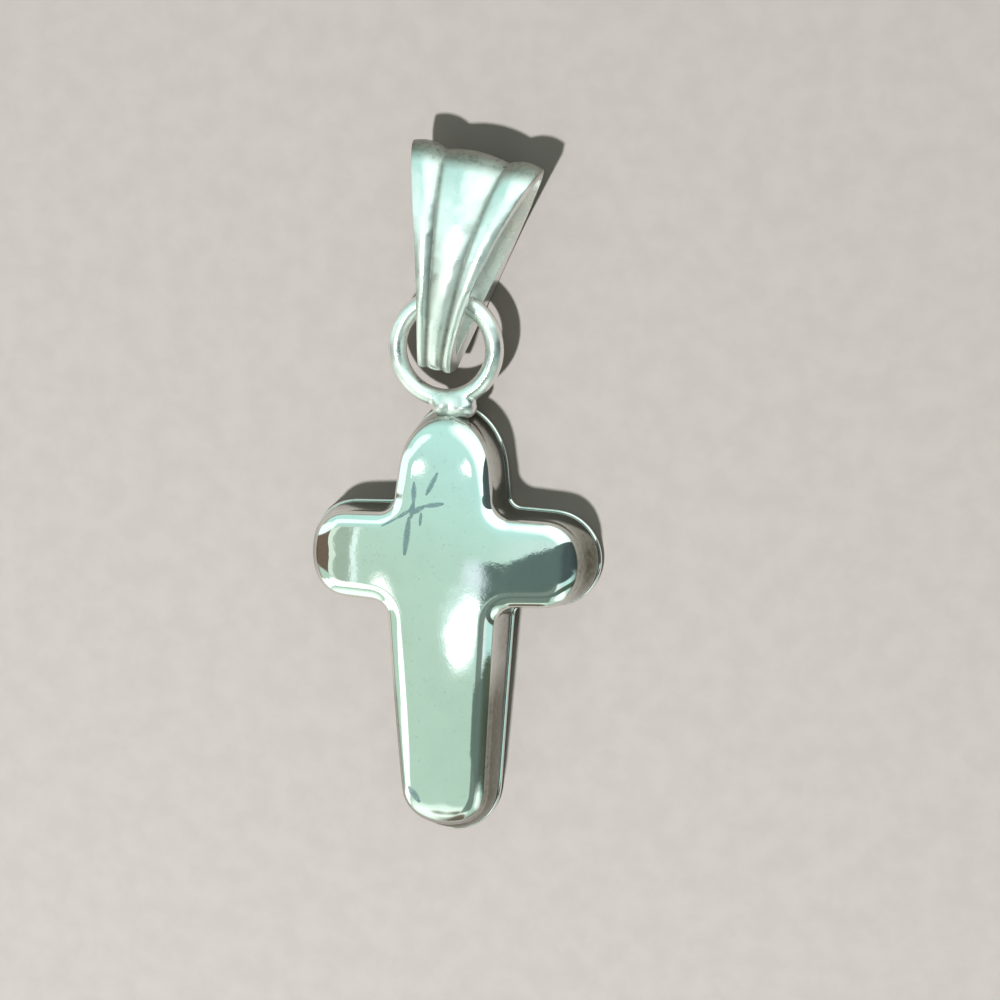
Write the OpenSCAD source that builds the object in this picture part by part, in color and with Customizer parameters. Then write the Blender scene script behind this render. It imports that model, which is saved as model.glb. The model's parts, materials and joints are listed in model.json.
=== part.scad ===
// Puffed cross pendant with a soldered jump ring and a folded, fluted bail, lying on its back.
// The origin is the middle of the crossing on the flat back. The top arm points along +Y.

/* [Cross outline] */
// Reach of the top arm from the middle of the crossing
top_reach = 6.0; // [5:0.1:8]
// Reach of each side arm from the middle of the crossing
side_reach = 6.0; // [4.6:0.1:8]
// Reach of the lower arm from the middle of the crossing
low_reach = 11.4; // [7:0.1:15]
// Width of the top arm beside the crossing
top_root_w = 4.5; // [3.4:0.1:4.8]
// Width of the top arm where its round end starts
top_end_w = 4.3; // [3:0.1:4.6]
// Width of each side arm beside the crossing
side_root_w = 4.0; // [3:0.1:4.2]
// Width of each side arm where its round end starts
side_end_w = 3.9; // [2.8:0.1:4.2]
// Width of the lower arm beside the crossing
low_root_w = 4.9; // [3.6:0.1:5]
// Width of the lower arm where its round end starts
low_end_w = 4.0; // [2.8:0.1:4.6]
// Length of the round end of the top arm
top_round = 2.7; // [1.2:0.1:3]
// Length of the round end of each side arm
side_round = 1.9; // [1.2:0.1:2]
// Length of the round end of the lower arm
low_round = 2.0; // [1.2:0.1:2.4]
// Radius of the fillets in the four inner corners
corner_r = 0.45; // [0.3:0.05:1]

/* [Cross section] */
// Height of the front face over the middle of the crossing
face_h = 2.55; // [2:0.05:3.2]
// Height that the face would keep at the end of the top arm
top_end_h = 2.0; // [1.6:0.05:2.4]
// Height that the face would keep at the end of each side arm
side_end_h = 2.1; // [1.6:0.05:2.4]
// Height that the face would keep at the end of the lower arm
low_end_h = 1.75; // [1.5:0.05:2.4]
// Inset of the rounded shoulder along the sides of the arms
shoulder_w = 0.8; // [0.5:0.05:1.2]
// Inset of the rounded shoulder at the ends of the arms
end_shoulder_w = 1.3; // [0.8:0.05:1.7]
// Drop of the rounded shoulder along the sides of the arms
shoulder_h = 0.5; // [0.4:0.05:0.9]
// Drop of the rounded shoulder at the ends of the arms
end_shoulder_h = 0.85; // [0.6:0.05:1.1]
// Lean of the wall inward over its whole height, along the sides and under the jump ring
wall_lean = 0.15; // [0.05:0.01:0.25]
// Lean of the wall inward at the ends of the side arms and the lower arm
end_wall_lean = 0.35; // [0.05:0.05:0.5]
// Thickness of the sheet of the front shell
shell_t = 0.4; // [0.3:0.05:0.6]
// Thickness of the back plate
plate_t = 0.3; // [0.2:0.05:0.4]
// How far the back plate stands out past the wall of the shell
plate_rim = 0.08; // [0.03:0.01:0.12]

/* [Jump ring] */
// Outer diameter of the jump ring
ring_od = 4.7; // [4.4:0.1:5.4]
// Diameter of the wire of the jump ring
wire_d = 0.74; // [0.6:0.02:0.84]
// Height of the middle of the wire over the back of the cross
ring_level = 1.35; // [1.2:0.05:1.4]
// Distance that the ring sits to the left of the long axis
ring_offset = 0.18; // [0:0.02:0.5]
// Depth that the ring sinks into the end of the top arm
ring_seat = 0.05; // [0.05:0.01:0.2]
// Diameter of the bead of solder between ring and arm
solder_d = 0.86; // [0.7:0.02:1]
// Length of the bead of solder across the joint
solder_w = 1.8; // [1.2:0.1:2]
// Distance that the bead of solder sits to the right of the long axis
solder_offset = 0.2; // [0:0.02:0.4]

/* [Bail] */
// Length of the bail from tip to fold
bail_len = 8.7; // [8:0.1:11]
// Depth of the loop of the bail at its widest
bail_depth = 2.9; // [2.6:0.1:3.4]
// Width of the strip at the fold
fold_w = 5.3; // [4.5:0.1:6.5]
// Width of the strip at the tip
tip_w = 1.35; // [1:0.05:1.5]
// Thickness of the strip
strip_t = 0.36; // [0.3:0.02:0.44]
// Depth of the joined tip, over both legs
tip_h = 0.7; // [0.6:0.05:0.9]
// Length of the solid tip, where the legs are joined
tip_len = 0.75; // [0.4:0.05:1]
// Depth of the creases between the flutes, at the fold
flute_depth = 0.2; // [0.1:0.02:0.32]
// Share of the strip's width that the middle flute takes
middle_share = 0.48; // [0.4:0.02:0.6]
// Angle by which the bail leans to the right of the long axis
bail_lean = 11; // [5:0.5:16]
// Rise of the bail from its tip to its fold, as it rests on the belly of its back leg
bail_rise = 1; // [0:0.5:6]
// Gap between the tip and the inside of the ring, beside the solder
tip_gap = 0.8; // [0.5:0.05:0.9]
// Distance from the middle of the ring to the tip, to the left
tip_left = 0.3; // [0:0.05:0.5]

/* [Hidden] */

// Columns of the table of arms
DIR = 0;
REACH = 1;
ROOT = 2;
END = 3;
ROUND = 4;
LEAN = 5;
// One row for each arm, anticlockwise from the right: direction, reach, half widths, round end and
// lean of the wall at the end
ARMS = [
  [0, side_reach, side_root_w / 2, side_end_w / 2, side_round, end_wall_lean],
  [90, top_reach, top_root_w / 2, top_end_w / 2, top_round, wall_lean],
  [180, side_reach, side_root_w / 2, side_end_w / 2, side_round, end_wall_lean],
  [270, low_reach, low_root_w / 2, low_end_w / 2, low_round, end_wall_lean]
];

// Steps of the mesh along a corner, a side and a quarter of a round end
corner_steps = 3;
side_steps = 3;
end_steps = 6;
// Steps of the mesh over the shoulder and from there to the axis of the arm
shoulder_steps = 6;
crown_steps = 3;
// Roundness of the shoulder: 2 is an ellipse, more is squarer
shoulder_power = 3;
// How late the round end takes on its own shoulder: more keeps its corners fuller
end_power = 2.5;
// Bevel of the edge of the back plate
plate_bevel = 0.05;

function mix(a, b, f) = a + (b - a) * f;
function flat(lists) = [for (l = lists) for (e = l) e];
function turned(p, angle) = [p[0] * cos(angle) - p[1] * sin(angle), p[0] * sin(angle) + p[1] * cos(angle)];

// One column of the mesh: a point of the outline, the point of the arm's axis behind it, how far
// round the end it lies, from 0 on the side to 1 at the tip, and the lean of the wall there
POINT = 0;
AXIS = 1;
ENDNESS = 2;
WALL = 3;

// Half of an arm, from the middle of the inner corner to the tip, before it is turned to its direction
function half_arm(arm, neighbour, side) =
  let (
    root = arm[ROOT],
    beside = neighbour[ROOT],
    centre = arm[REACH] - arm[ROUND],
    axis_root = max(top_root_w, low_root_w, side_root_w) / 2 + corner_r
  )
  concat(
    [for (i = [0:corner_steps])
      let (f = i / corner_steps, a = 45 * (1 - f))
      [
        [beside + corner_r * (1 - sin(a)), side * (root + corner_r * (1 - cos(a)))],
        [axis_root * f, 0],
        0,
        wall_lean
      ]],
    [for (i = [1:side_steps])
      let (f = i / side_steps)
      [
        [mix(beside + corner_r, centre, f), side * mix(root, arm[END], f)],
        [mix(axis_root, centre, f), 0],
        0,
        wall_lean
      ]],
    [for (i = [1:end_steps])
      let (a = 90 * i / end_steps, endness = pow(sin(a), end_power))
      [
        [centre + arm[ROUND] * sin(a), side * arm[END] * cos(a)],
        [centre, 0],
        endness,
        mix(wall_lean, arm[LEAN], endness)
      ]]
  );

// A whole arm, anticlockwise, without the corner that the next arm starts with
function whole_arm(k) =
  let (
    arm = ARMS[k],
    before = half_arm(arm, ARMS[(k + 3) % 4], -1),
    after = half_arm(arm, ARMS[(k + 1) % 4], 1),
    way = concat(before, [for (i = [len(after) - 2:-1:1]) after[i]])
  )
  [for (c = way)
    [turned(c[POINT], arm[DIR]), turned(c[AXIS], arm[DIR]), c[ENDNESS], c[WALL]]];

COLUMNS = flat([for (k = [0:3]) whole_arm(k)]);

// Fall of the face from the crossing towards the ends of the arms
function fall(at, reach, end_h) = (face_h - end_h) * pow(abs(at) / reach, 2);
function face_z(p) =
  face_h - fall(p[0], side_reach, side_end_h)
  - (p[1] > 0 ? fall(p[1], top_reach, top_end_h) : fall(p[1], low_reach, low_end_h));

// The point of a column at a distance inward from the outline
function inward(column, distance) =
  let (way = column[AXIS] - column[POINT])
  column[POINT] + way * distance / norm(way);

// Distance from the outline to the top of the wall of the shell, or of its inside at an inset
function wall_inset(c, inset) = plate_rim + inset + c[WALL];

// Width of the shoulder beyond the wall, short of the arm's axis
function shoulder_inset(c, inset) =
  min(
    mix(shoulder_w, end_shoulder_w, c[ENDNESS]) - inset / 2,
    0.9 * norm(c[AXIS] - c[POINT]) - wall_inset(c, inset)
  );

// Share of the shoulder's height reached at a share of its inset
function shoulder_rise(f) = pow(1 - pow(1 - f, shoulder_power), 1 / shoulder_power);

// The shell of the cross from its foot up to the axis of each arm, inset all round by a wall
function shell_rings(inset, foot) =
  concat(
    [[for (c = COLUMNS) concat(inward(c, plate_rim + inset), foot)]],
    [for (i = [0:shoulder_steps])
      let (angle = 90 * i / shoulder_steps, f = 1 - cos(angle))
      [for (c = COLUMNS)
        let (
          h = mix(shoulder_h, end_shoulder_h, c[ENDNESS]),
          p = inward(c, wall_inset(c, inset) + f * shoulder_inset(c, inset))
        )
        concat(p, face_z(p) - inset - h * (1 - shoulder_rise(f)))]],
    [for (i = [1:crown_steps])
      [for (c = COLUMNS)
        let (
          crest = wall_inset(c, inset) + shoulder_inset(c, inset),
          p = inward(c, mix(crest, norm(c[AXIS] - c[POINT]), i / crown_steps))
        )
        concat(p, face_z(p) - inset)]]
  );

// The back plate's edge, below the shell
function plate_rings() = [
  [for (c = COLUMNS) concat(inward(c, plate_bevel), 0)],
  [for (c = COLUMNS) concat(c[POINT], plate_bevel)],
  [for (c = COLUMNS) concat(c[POINT], plate_t - plate_bevel)]
];

// A closed solid from rings of points: the first ring is its flat foot, and the last lies on the axes
module ringed(rings) {
  n = len(COLUMNS);
  last = len(rings) - 1;
  foot = [[for (i = [0:n - 1]) i]];
  sides = flat([for (r = [0:last - 1]) for (i = [0:n - 1])
    let (j = (i + 1) % n, a = r * n + i, b = r * n + j, c = a + n, d = b + n)
    r == last - 1 && norm(COLUMNS[i][AXIS] - COLUMNS[j][AXIS]) < 0.001
      ? [[a, c, b]]
      : [[a, c, b], [b, c, d]]]);
  polyhedron(points = flat(rings), faces = concat(foot, sides), convexity = 6);
}

ring_r = (ring_od - wire_d) / 2;
ring_at = [-ring_offset, top_reach - ring_seat + ring_od / 2, ring_level];

module jump_ring() {
  translate(ring_at)
    rotate_extrude($fn = 64)
      translate([ring_r, 0]) circle(d = wire_d, $fn = 20);
}

// A bead of solder that lies across the joint between the ring and the end of the arm
module solder() {
  run = solder_w - solder_d;
  at = [solder_offset, top_reach, ring_level];
  translate(at) {
    rotate([0, 90, 0]) cylinder(h = run, d = solder_d, center = true, $fn = 24);
    for (side = [-1, 1]) translate([side * run / 2, 0, 0]) sphere(d = solder_d, $fn = 24);
  }
}

module cross() {
  color("lightsteelblue") {
    difference() {
      union() {
        ringed(concat(plate_rings(), shell_rings(0, plate_t)));
        jump_ring();
        solder();
      }
      ringed(shell_rings(shell_t, plate_t));
    }
  }
}

// Stations of the bail's loop, counted from the tip along the front leg, over the fold and back
loop_steps = 40;
// Points across each flute of the strip
side_points = 4;
middle_points = 7;
// Fullness of the loop towards the tip: less is fuller
loop_power = 0.25;
// Growth of the strip's width towards the fold, on the front and the back leg: more is a later flare
front_flare = 1.6;
back_flare = 1.2;
// Arch of the strip across its width, as a share of the depth of the creases: below 0 its edges curl up
strip_arch = -0.4;
// Height of the side flutes, as a share of the middle one
side_lift = 0.8;
// Depth of the creases at the tip, as a share of their depth at the fold
tip_relief = 0.35;
// How fast the creases fade towards the tip on the inside of the strip
relief_fade = 0.5;
// Angle on the loop at which the joined tip is cut off square
tip_cut = 3;

// Places across the strip from -1 to 1, flute by flute
ACROSS = concat(
  [for (i = [0:side_points - 1]) mix(-1, -middle_share, i / side_points)],
  [for (i = [0:middle_points - 1]) mix(-middle_share, middle_share, i / middle_points)],
  [for (i = [0:side_points]) mix(middle_share, 1, i / side_points)]
);

// Height of the flutes over their creases at a place across the strip
function lobe(f) = 1 - pow(2 * f - 1, 2);
function flute(v) =
  abs(v) < middle_share
    ? lobe((v + middle_share) / (2 * middle_share))
    : side_lift * lobe((abs(v) - middle_share) / (1 - middle_share));

// Side view of the loop at an angle from 0 at the tip to 180 at the fold and 360 back at the tip
function loop_shape(a) = sin(a) * pow(sin(a / 2), loop_power);
loop_peak = max([for (a = [90:2:130]) loop_shape(a)]);
function loop_point(a, start, length, depth, half_tip) = [
  start + length * (1 - cos(a)) / 2,
  (depth / 2 * loop_shape(a) / loop_peak) + half_tip * cos(a / 2) * abs(cos(a / 2))
];
function outer_loop(a) = loop_point(a, 0, bail_len, bail_depth, tip_h / 2);
function inner_loop(a) =
  loop_point(a, tip_len, bail_len - tip_len - strip_t, bail_depth - 2 * strip_t, 0);

// Outward normal of the outer loop
function loop_normal(a) =
  let (d = outer_loop(a + 1) - outer_loop(a - 1))
  [-d[1], d[0]] / norm(d);

// Share of the way from the tip to the fold, for the width of the strip
function along(a) = (1 - cos(a)) / 2;
function half_width(a) = mix(tip_w, fold_w, pow(along(a), a < 180 ? front_flare : back_flare)) / 2;
// Depth of the strip's surface below the top of the middle flute
function relief(a, v) =
  flute_depth * mix(tip_relief, 1, along(a)) * (flute(v) - 1 - strip_arch * v * v);

// The bail in its own frame: x across, y from tip to fold, z out of the front leg
function bail_section(a, skin) = [
  for (v = ACROSS)
    let (
      base = skin > 0 ? outer_loop(a) : inner_loop(a),
      fade = skin > 0 ? 1 : pow(along(a), relief_fade),
      p = base + loop_normal(a) * relief(a, v) * fade
    )
    [v * half_width(a), p[0], p[1]]
];

ANGLES = [for (i = [0:loop_steps]) mix(tip_cut, 360 - tip_cut, i / loop_steps)];
OUTER = [for (a = ANGLES) bail_section(a, 1)];
INNER = [for (a = ANGLES) bail_section(a, -1)];

// Distance from the middle of the ring back to the tip
tip_back = ring_od / 2 - wire_d - tip_gap;

// Place of the bail: its tip in the ring, its back leg's belly on the ground
function placed(p) =
  let (
    z = p[2] * cos(bail_rise) + p[1] * sin(bail_rise),
    y = p[1] * cos(bail_rise) - p[2] * sin(bail_rise),
    q = turned([p[0], y], -bail_lean)
  )
  [q[0] + ring_at[0] - tip_left, q[1] + ring_at[1] - tip_back, z];

module bail() {
  color("silver") {
    raw = [for (s = concat(OUTER, INNER)) for (p = s) placed(p)];
    low = min([for (p = raw) p[2]]);
    points = [for (p = raw) p - [0, 0, low]];
    m = len(ACROSS);
    n = len(ANGLES);
    inner = n * m;
    outside = flat([for (i = [0:n - 1]) for (j = [0:m - 2])
      let (a = i * m + j, c = (i + 1) % n * m + j)
      [[a, c, a + 1], [a + 1, c, c + 1]]]);
    inside = [for (f = outside) [f[0] + inner, f[2] + inner, f[1] + inner]];
    edges = flat([for (i = [0:n - 1])
      let (a = i * m, b = (i + 1) % n * m, c = a + m - 1, d = b + m - 1)
      [
        [a, a + inner, b], [b, a + inner, b + inner],
        [c, d, c + inner], [d, d + inner, c + inner]
      ]]);
    polyhedron(points = points, faces = concat(outside, inside, edges), convexity = 6);
  }
}

cross();
bail();
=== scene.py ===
"""A polished silver cross with its jump ring and fluted bail, lying on a pale floor."""

import json
import math

import bmesh
import bpy
import numpy as np
from bpy.props import FloatProperty, FloatVectorProperty, PointerProperty
from mathutils import Matrix, Vector

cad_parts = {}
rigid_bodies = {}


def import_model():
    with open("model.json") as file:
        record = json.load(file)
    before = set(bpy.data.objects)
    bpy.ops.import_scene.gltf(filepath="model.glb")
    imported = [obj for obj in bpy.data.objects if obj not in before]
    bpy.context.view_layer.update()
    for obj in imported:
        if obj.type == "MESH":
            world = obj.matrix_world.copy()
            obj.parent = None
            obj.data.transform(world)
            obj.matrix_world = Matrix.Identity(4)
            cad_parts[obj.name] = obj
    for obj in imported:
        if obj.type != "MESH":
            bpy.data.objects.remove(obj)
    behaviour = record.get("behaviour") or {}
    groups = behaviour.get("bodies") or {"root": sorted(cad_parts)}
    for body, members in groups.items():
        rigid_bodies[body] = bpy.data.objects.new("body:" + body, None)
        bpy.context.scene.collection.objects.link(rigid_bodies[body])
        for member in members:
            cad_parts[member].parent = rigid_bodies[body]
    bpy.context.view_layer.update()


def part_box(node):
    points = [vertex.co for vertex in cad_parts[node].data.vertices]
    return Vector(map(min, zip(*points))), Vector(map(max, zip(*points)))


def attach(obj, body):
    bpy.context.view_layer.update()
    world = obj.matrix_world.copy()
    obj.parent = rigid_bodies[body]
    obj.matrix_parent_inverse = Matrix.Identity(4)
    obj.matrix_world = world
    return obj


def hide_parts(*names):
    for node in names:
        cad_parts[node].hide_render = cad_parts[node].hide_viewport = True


bl_info = {
    "name": "Cross pendant",
    "version": (1, 0, 0),
    "blender": (4, 5, 0),
    "location": "3D View > Sidebar > Pendant",
    "description": "Builds a silver cross pendant with its ring and bail round the CAD frame",
    "category": "Object",
}

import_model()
CROSS_LOW, CROSS_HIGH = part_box("cross")
MM = 0.001


def length(name, description, default):
    """A size in metres that the sidebar shows in the scene's unit."""
    return FloatProperty(name=name, description=description, default=default, min=0.0,
                         unit="LENGTH", precision=5)


def share(name, description, default, top=1.0):
    """A share of a whole, or a roughness."""
    return FloatProperty(name=name, description=description, default=default, min=0.0, max=top,
                         subtype="FACTOR")


def tone(name, description, default):
    """A colour as red, green and blue."""
    return FloatVectorProperty(name=name, description=description, default=default, size=3,
                               min=0.0, max=1.0, subtype="COLOR")


class CrossSizes(bpy.types.PropertyGroup):
    """Sizes of the puffed cross"""

    top_reach: length("Top reach", "Middle of the crossing to the end of the top arm", 6.0 * MM)
    side_reach: length("Side reach", "Middle of the crossing to the end of a side arm",
                       CROSS_HIGH.x)
    low_reach: length("Low reach", "Middle of the crossing to the end of the lower arm",
                      -CROSS_LOW.y)
    top_root_w: length("Top root width", "Width of the top arm beside the crossing", 4.5 * MM)
    top_end_w: length("Top end width", "Width of the top arm where it starts to round", 4.3 * MM)
    side_root_w: length("Side root width", "Width of a side arm beside the crossing", 4.0 * MM)
    side_end_w: length("Side end width", "Width of a side arm where it starts to round", 3.9 * MM)
    low_root_w: length("Low root width", "Width of the lower arm beside the crossing", 4.9 * MM)
    low_end_w: length("Low end width", "Width of the lower arm where it starts to round", 4.0 * MM)
    top_round: length("Top round", "Length of the round end of the top arm", 2.7 * MM)
    side_round: length("Side round", "Length of the round end of a side arm", 1.9 * MM)
    low_round: length("Low round", "Length of the round end of the lower arm", 2.0 * MM)
    corner_r: length("Corner radius", "Fillet in the four inner corners", 0.45 * MM)
    face_h: length("Face height", "Face over the middle of the crossing", CROSS_HIGH.z)
    top_end_h: length("Top end height", "Face carried to the end of the top arm", 2.0 * MM)
    side_end_h: length("Side end height", "Face carried to the end of a side arm", 2.1 * MM)
    low_end_h: length("Low end height", "Face carried to the end of the lower arm", 1.75 * MM)
    shoulder_w: length("Shoulder inset", "Inset of the shoulder along the sides", 0.8 * MM)
    end_shoulder_w: length("End shoulder inset", "Inset of the shoulder at the ends", 1.3 * MM)
    shoulder_h: length("Shoulder drop", "Drop of the shoulder along the sides", 0.5 * MM)
    end_shoulder_h: length("End shoulder drop", "Drop of the shoulder at the ends", 0.85 * MM)
    wall_lean: length("Wall lean", "Lean of the wall inward, on the sides", 0.15 * MM)
    end_wall_lean: length("End wall lean", "Lean of the wall inward, at the ends", 0.35 * MM)
    plate_t: length("Plate", "Thickness of the back plate", 0.3 * MM)
    plate_rim: length("Plate rim", "How far the plate stands out past the wall", 0.08 * MM)


class RingSizes(bpy.types.PropertyGroup):
    """Sizes of the jump ring and its solder"""

    ring_od: length("Ring", "Outer diameter of the jump ring", 4.7 * MM)
    wire_d: length("Wire", "Diameter of the wire", 0.74 * MM)
    ring_level: length("Level", "Middle of the wire over the floor", 1.35 * MM)
    ring_offset: length("Offset", "Ring to the left of the long axis", 0.18 * MM)
    solder_d: length("Solder", "Diameter of the bead of solder", 0.86 * MM)
    solder_w: length("Solder length", "Length of the bead across the joint", 1.8 * MM)
    solder_offset: length("Solder offset", "Bead to the right of the long axis", 0.2 * MM)


class BailSizes(bpy.types.PropertyGroup):
    """Sizes and lie of the fluted bail"""

    bail_len: length("Length", "Tip to fold", 8.7 * MM)
    bail_depth: length("Depth", "Depth of the loop at its widest", 2.9 * MM)
    fold_w: length("Fold width", "Width of the strip at the fold", 5.3 * MM)
    tip_w: length("Tip width", "Width of the strip at the tip", 1.35 * MM)
    strip_t: length("Strip", "Thickness of the strip", 0.36 * MM)
    tip_h: length("Tip depth", "Depth of the joined tip", 0.7 * MM)
    tip_len: length("Tip length", "Length of the solid tip", 0.75 * MM)
    flute_depth: length("Creases", "Depth of the creases at the fold", 0.2 * MM)
    middle_share: share("Middle flute", "Share of the width that the middle flute takes", 0.48)
    bail_lean: FloatProperty(name="Lean", description="Lean to the right of the long axis",
                             default=math.radians(11), subtype="ANGLE")
    bail_rise: FloatProperty(name="Rise", description="Rise from the tip to the fold",
                             default=math.radians(1), subtype="ANGLE")
    tip_back: length("Tip place", "Middle of the ring back to the tip", 0.81 * MM)
    tip_left: length("Tip side", "Middle of the ring to the tip, to the left", 0.3 * MM)
    edge_r: length("Edge", "Rounding of the strip's cut edges", 0.07 * MM)


class SilverLook(bpy.types.PropertyGroup):
    """Colours and finish of the silver"""

    silver: tone("Silver", "Polished silver", (0.93, 0.94, 0.91))
    # Dark colour of real tarnish, used also for painted shade and painted dark reflection on the
    # cross's walls and shoulders and the bail's creases and fold
    shade_and_tarnish: tone("Tarnish", "Thin tarnish in creases and seams", (0.14, 0.135, 0.10))
    nick: tone("Nicks", "Floor of the nicks in the face", (0.27, 0.34, 0.37))
    polish: share("Polish", "Roughness of the clean face", 0.035)
    frost: share("Frost", "Roughness of the ring and the bail, which rub on each other", 0.34)
    worn: share("Wear", "Roughness that wear adds", 0.16)
    dent: length("Dents", "Height of the soft dents in the face", 0.005 * MM)
    hammer: length("Lumps", "Height of the soft lumps in the ring and the bail", 0.065 * MM)


class StageLook(bpy.types.PropertyGroup):
    """Floor, lights and camera"""

    floor: tone("Floor", "Plain pale floor", (0.175, 0.132, 0.117))
    key_power: FloatProperty(name="Key", description="Power of the soft key light in watts",
                             default=4.4, min=0.0)
    glint_power: FloatProperty(name="Glint", default=0.12, min=0.0,
                               description="Power in watts of the glint on the ring and the bail")
    sky: FloatProperty(name="Room", description="Brightness of the room", default=1.0, min=0.0)
    distance: length("Camera", "Distance of the camera", 130 * MM)
    view_w: length("View", "Width of the view at the pendant", 40 * MM)
    tilt: FloatProperty(name="Tilt", description="Camera's tilt from straight above",
                        default=math.radians(17.5), subtype="ANGLE")
    side: FloatProperty(name="Side", description="Side that the camera tilts to, from the right",
                        default=math.radians(32), subtype="ANGLE")
    roll: FloatProperty(name="Roll", description="Camera's roll", default=math.radians(0.7),
                        subtype="ANGLE")


class Wire:
    """One output of a node, to be used in sums."""

    def __init__(self, shader, socket):
        self.shader = shader
        self.socket = socket

    def maths(self, operation, *values):
        return self.shader.add("ShaderNodeMath", {"operation": operation}, dict(enumerate(values)))

    def __add__(self, other):
        return self.maths("ADD", self, other)

    def __sub__(self, other):
        return self.maths("SUBTRACT", self, other)

    def __rsub__(self, other):
        return self.maths("SUBTRACT", other, self)

    def __mul__(self, other):
        return self.maths("MULTIPLY", self, other)

    def __truediv__(self, other):
        return self.maths("DIVIDE", self, other)

    def __pow__(self, other):
        return self.maths("POWER", self, other)

    __radd__ = __add__
    __rmul__ = __mul__

    def least(self, other):
        return self.maths("MINIMUM", self, other)

    def most(self, other):
        return self.maths("MAXIMUM", self, other)

    def step(self, low, high, out_low=0.0, out_high=1.0):
        """0 below low, 1 above high and a smooth rise between; low may be the larger."""
        return self.shader.add("ShaderNodeMapRange",
                               {"interpolation_type": "SMOOTHSTEP", "clamp": True},
                               {0: self, 1: low, 2: high, 3: out_low, 4: out_high})

    def minus(self, other):
        """Difference of two vectors."""
        return self.shader.add("ShaderNodeVectorMath", {"operation": "SUBTRACT"},
                               {0: self, 1: other})

    def times(self, other):
        """Product of two vectors, part by part."""
        return self.shader.add("ShaderNodeVectorMath", {"operation": "MULTIPLY"},
                               {0: self, 1: other})

    def dot(self, other):
        return self.shader.add("ShaderNodeVectorMath", {"operation": "DOT_PRODUCT"},
                               {0: self, 1: other}, out="Value")

    def size(self):
        return self.shader.add("ShaderNodeVectorMath", {"operation": "LENGTH"}, {0: self},
                               out="Value")


class Shader:
    """Builds the nodes of one material or world."""

    def __init__(self, owner):
        owner.use_nodes = True
        self.tree = owner.node_tree
        self.tree.nodes.clear()

    def add(self, kind, settings=None, sockets=None, out=0):
        """A node of a kind: first its settings, then its sockets' values or links."""
        node = self.tree.nodes.new(kind)
        for name, value in (settings or {}).items():
            setattr(node, name, value)
        for name, value in (sockets or {}).items():
            socket = node.inputs[name]
            if isinstance(value, Wire):
                self.tree.links.new(value.socket, socket)
            elif socket.type == "RGBA":
                socket.default_value = (*value, 1.0)
            else:
                socket.default_value = value
        return Wire(self, node.outputs[out])

    def blend(self, a, b, factor):
        """Colour a where factor is 0 and b where it is 1."""
        return self.add("ShaderNodeMix", {"data_type": "RGBA"}, {0: factor, 6: a, 7: b}, out=2)

    def noise(self, place, scale, detail=3.0, roughness=0.5, stretch=None, turn=0.0):
        """Noise of a scale in waves per metre, stretched and turned about Z if asked."""
        if stretch or turn:
            place = self.add("ShaderNodeMapping", {"vector_type": "POINT"},
                             {"Vector": place, "Rotation": (0.0, 0.0, turn),
                              "Scale": stretch or (1.0, 1.0, 1.0)})
        return self.add("ShaderNodeTexNoise", {},
                        {"Vector": place, "Scale": scale, "Detail": detail,
                         "Roughness": roughness})


def show_surface(shader, surface, kind="ShaderNodeOutputMaterial"):
    """Link the finished surface to the output of the material or world."""
    out = shader.tree.nodes.new(kind)
    shader.tree.links.new(surface.socket, out.inputs["Surface"])


# Waves per metre of the silver's noises
DENT_WAVES, LUMP_WAVES, FLECK_WAVES = 700.0, 950.0, 2300.0
GRAIN_WAVES, HAIR_WAVES, CLOUD_WAVES, RAGGED_WAVES = 5200.0, 2600.0, 420.0, 9000.0
HAIR_STRETCH, HAIR_TURN = (1.0, 16.0, 1.0), math.radians(27)
# Heights in mm of the finer bumps
FLECK_HEIGHT, GRAIN_HEIGHT = 0.012, 0.0006
# How far the thin clouds, the spots, and the mesh's marks of real tarnish and painted shade take
# the silver's colour to the dark tarnish and shade colour
CLOUD_DEPTH, SPOT_DEPTH, SHADE_AND_TARNISH_DEPTH = 0.07, 0.16, 0.95
# Roughness of the hair scratches and of the floor of the nicks
HAIR_ROUGH, NICK_ROUGH = 0.03, 0.25
# How much narrower a nick is at its ends than in the middle, as a share
NICK_TAPER = 0.55
# The nicks fade out between these heights, so the walls have none
NICK_LOW, NICK_HIGH = 1.4 * MM, 1.6 * MM
# Short nicks that meet in a star left of the crossing, and one at the foot of the lower arm:
# from, to, half width, in mm
NICKS = [
    ((-1.13, 3.07), (-1.12, 2.28), 0.145),
    ((-1.12, 2.28), (-1.22, 1.69), 0.160),
    ((-1.29, 1.66), (-1.46, 0.21), 0.170),
    ((-0.19, 3.47), (-0.60, 2.63), 0.140),
    ((0.09, 2.29), (-0.67, 2.16), 0.130),
    ((-0.67, 2.16), (-1.20, 1.84), 0.150),
    ((-1.20, 2.01), (-1.80, 1.62), 0.100),
    ((-1.80, 1.62), (-2.43, 1.27), 0.065),
    ((-0.80, 1.88), (-0.84, 1.39), 0.085),
    ((-1.36, -9.35), (-0.95, -9.90), 0.190),
]


def nick_mask(shader, place):
    """1 on the nicks and 0 off them, with ragged edges and tapered ends."""
    flat = place.times((1.0, 1.0, 0.0))
    ragged = shader.noise(place, RAGGED_WAVES, 2.0)
    mask = None
    for start, end, half in NICKS:
        a = Vector((*start, 0.0)) * MM
        run = Vector((*end, 0.0)) * MM - a
        rel = flat.minus(tuple(a))
        along = rel.dot(tuple(run / run.length_squared))
        held = along.most(0.0).least(1.0)
        spine = shader.add("ShaderNodeVectorMath", {"operation": "SCALE"},
                           {0: tuple(run), "Scale": held})
        away = rel.minus(spine).size()
        taper = 1.0 - (held * 2.0 - 1.0) ** 2.0 * NICK_TAPER
        wide = taper * (ragged * 0.5 + 0.75) * (half * MM)
        one = (away / wide).step(1.0, 0.45)
        mask = one if mask is None else mask.most(one)
    return mask


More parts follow.
